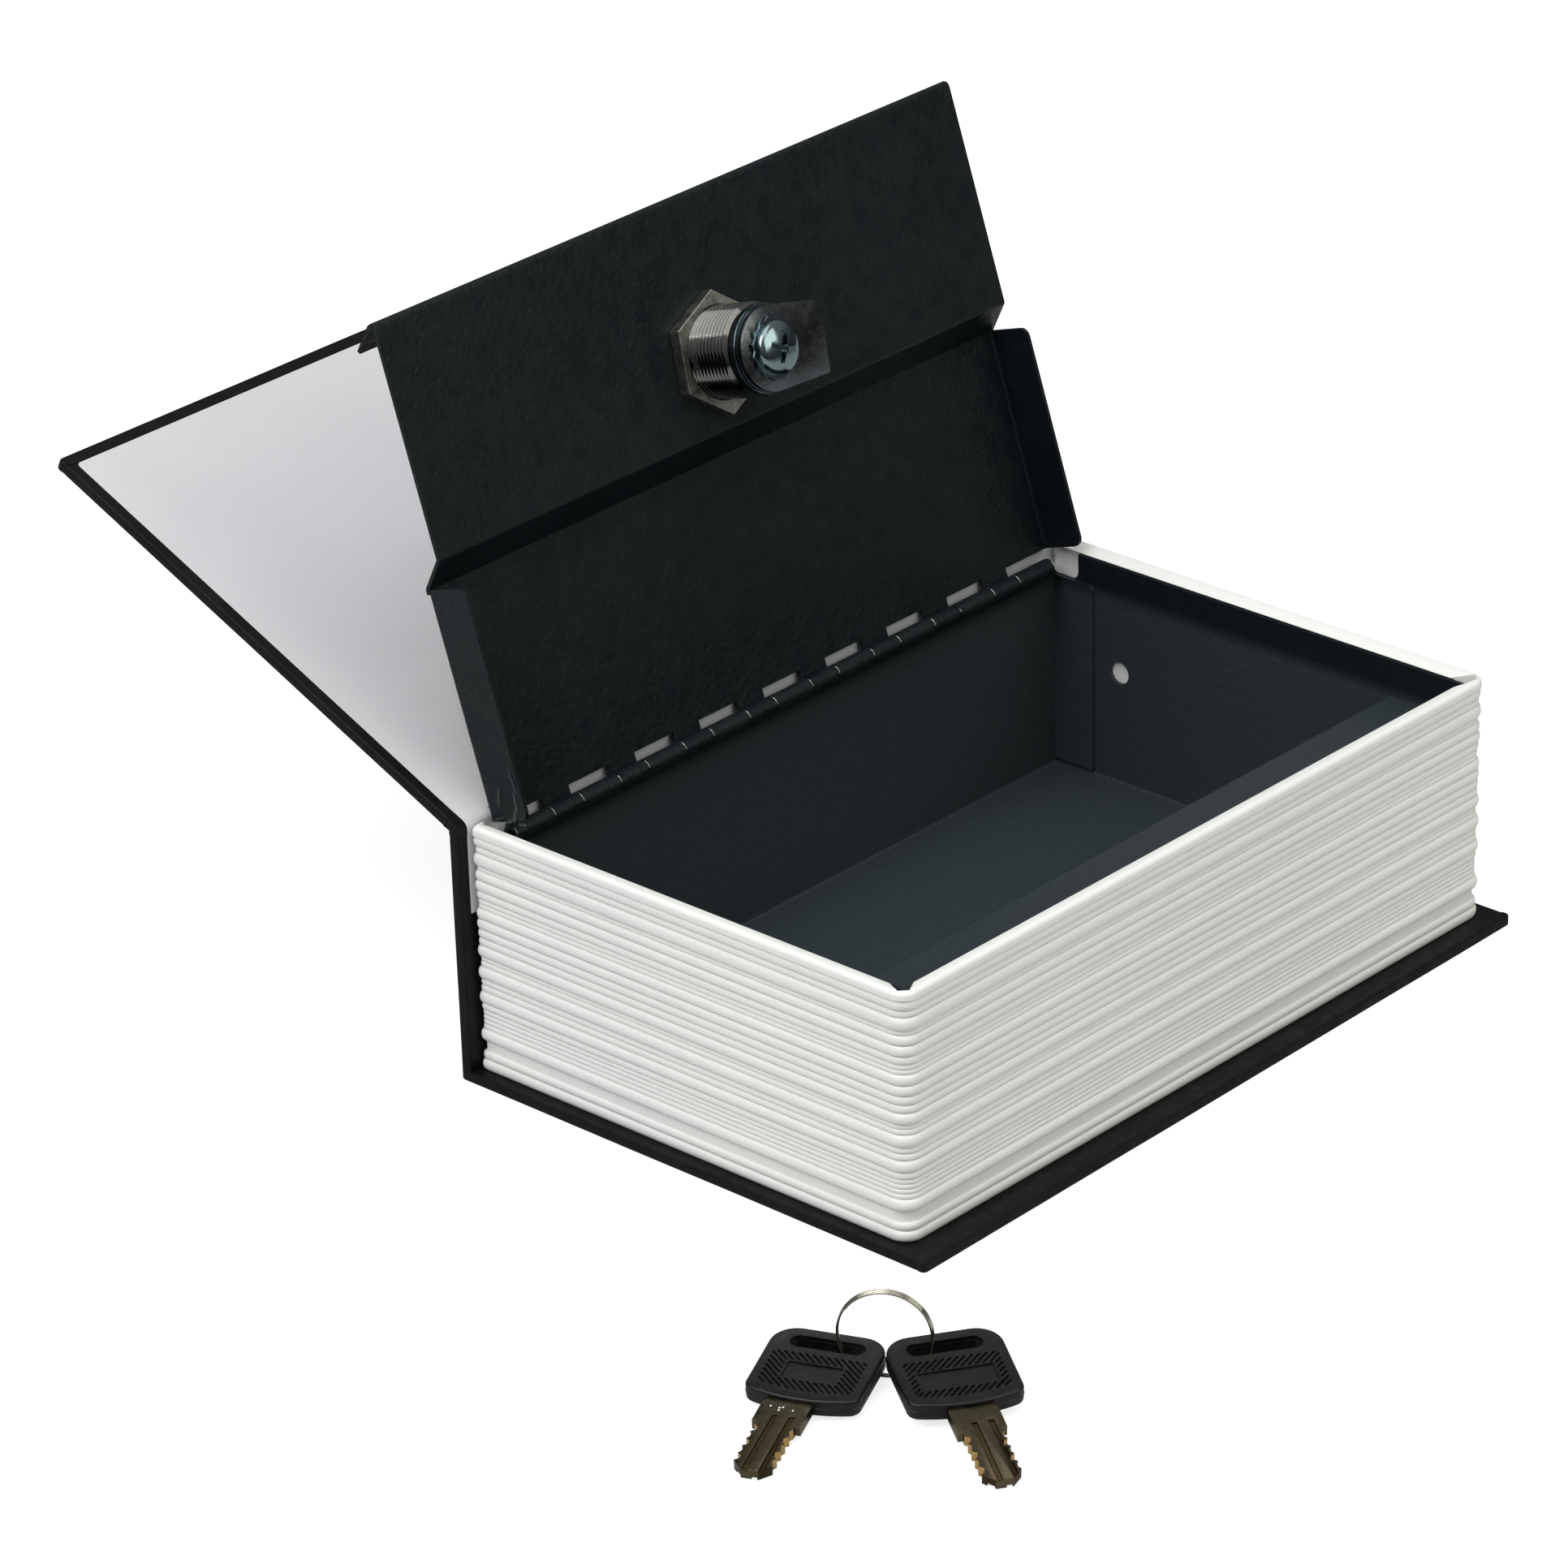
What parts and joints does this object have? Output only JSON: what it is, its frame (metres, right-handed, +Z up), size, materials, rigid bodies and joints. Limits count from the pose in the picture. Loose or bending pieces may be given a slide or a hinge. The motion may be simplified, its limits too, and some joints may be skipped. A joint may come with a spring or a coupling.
{
  "type": "book safe",
  "caption": "Hollow book with a lockable steel box inside a moulded page block, bound in a cloth-covered hard cover, shown open with its keys on a split ring.",
  "frame": {"origin": "centre of the back cover's underside, on the table", "axes": "+Z up; X runs from the spine to the fore-edge; Y runs along the spine"},
  "size_m": [0.2814, 0.2542, 0.1483],
  "materials": {
    "cloth": "black grained book cloth",
    "grey_board": "bare grey bookbinding board",
    "paper": "smooth white paper",
    "white_plastic": "satin moulded plastic",
    "powder_coat": "dark grey powder coat with fine orange peel",
    "dark_steel": "dark drawn steel",
    "nickel": "bright nickel plate",
    "zinc": "zinc plate",
    "brass": "bare brass",
    "key_metal": "worn nickel plate over brass",
    "black_plastic": "satin moulded plastic"
  },
  "bodies": {
    "case": {"cover_cloth": "cloth", "back_board": "grey_board", "spine_board": "grey_board", "back_endpaper": "paper", "spine_endpaper": "paper", "joint_cloth": "cloth", "page_block": "white_plastic", "steel_box": "powder_coat", "hinge_pin": "dark_steel"},
    "front_cover": {"front_cloth": "cloth", "front_board": "grey_board", "front_endpaper": "paper"},
    "lid": {"lid": "powder_coat", "lock_housing": "nickel", "lock_nut": "nickel"},
    "lock_cylinder": {"lock_plug": "brass", "wafer_1": "brass", "wafer_2": "brass", "wafer_3": "brass", "wafer_4": "brass", "wafer_5": "brass", "stop_washer": "zinc", "lock_cam": "zinc", "toothed_washer": "zinc", "cam_screw": "zinc"},
    "key_ring": {"key_ring": "nickel"},
    "left_key": {"key_head_left": "black_plastic", "key_blade_left": "key_metal"},
    "right_key": {"key_head_right": "black_plastic", "key_blade_right": "key_metal"}
  },
  "joints": [
    {"name": "lid_hinge", "type": "hinge", "parent": "case", "child": "lid", "pos_m": [-0.0527, 0, 0.0502], "axis": [0, 1, 0], "range_deg": [0, 108.1]},
    {"name": "front_cover_hinge", "type": "hinge", "parent": "case", "child": "front_cover", "pos_m": [-0.0566, 0, 0.0546], "axis": [0, 1, 0], "range_deg": [0, 156]},
    {"name": "lock_turn", "type": "hinge", "parent": "lid", "child": "lock_cylinder", "pos_m": [-0.07466, 0, 0.1174], "axis": [0.9505, 0, 0.3107], "range_deg": [0, 90]},
    {"name": "key_ring_lift", "type": "slide", "parent": "case", "child": "key_ring", "axis": [0, 0, 1], "range_m": [0, 0.06]},
    {"name": "left_key_swing", "type": "hinge", "parent": "key_ring", "child": "left_key", "pos_m": [0.0783, -0.1224, 0.00865], "axis": [-0.5314, 0.8471, 0], "range_deg": [0, 40]},
    {"name": "right_key_swing", "type": "hinge", "parent": "key_ring", "child": "right_key", "pos_m": [0.0783, -0.1224, 0.00865], "axis": [0.5314, -0.8471, 0], "range_deg": [0, 40]}
  ],
  "couplings": [
    {"joint": "front_cover_hinge", "follows": "lid_hinge", "ratio": 1.4431}
  ]
}
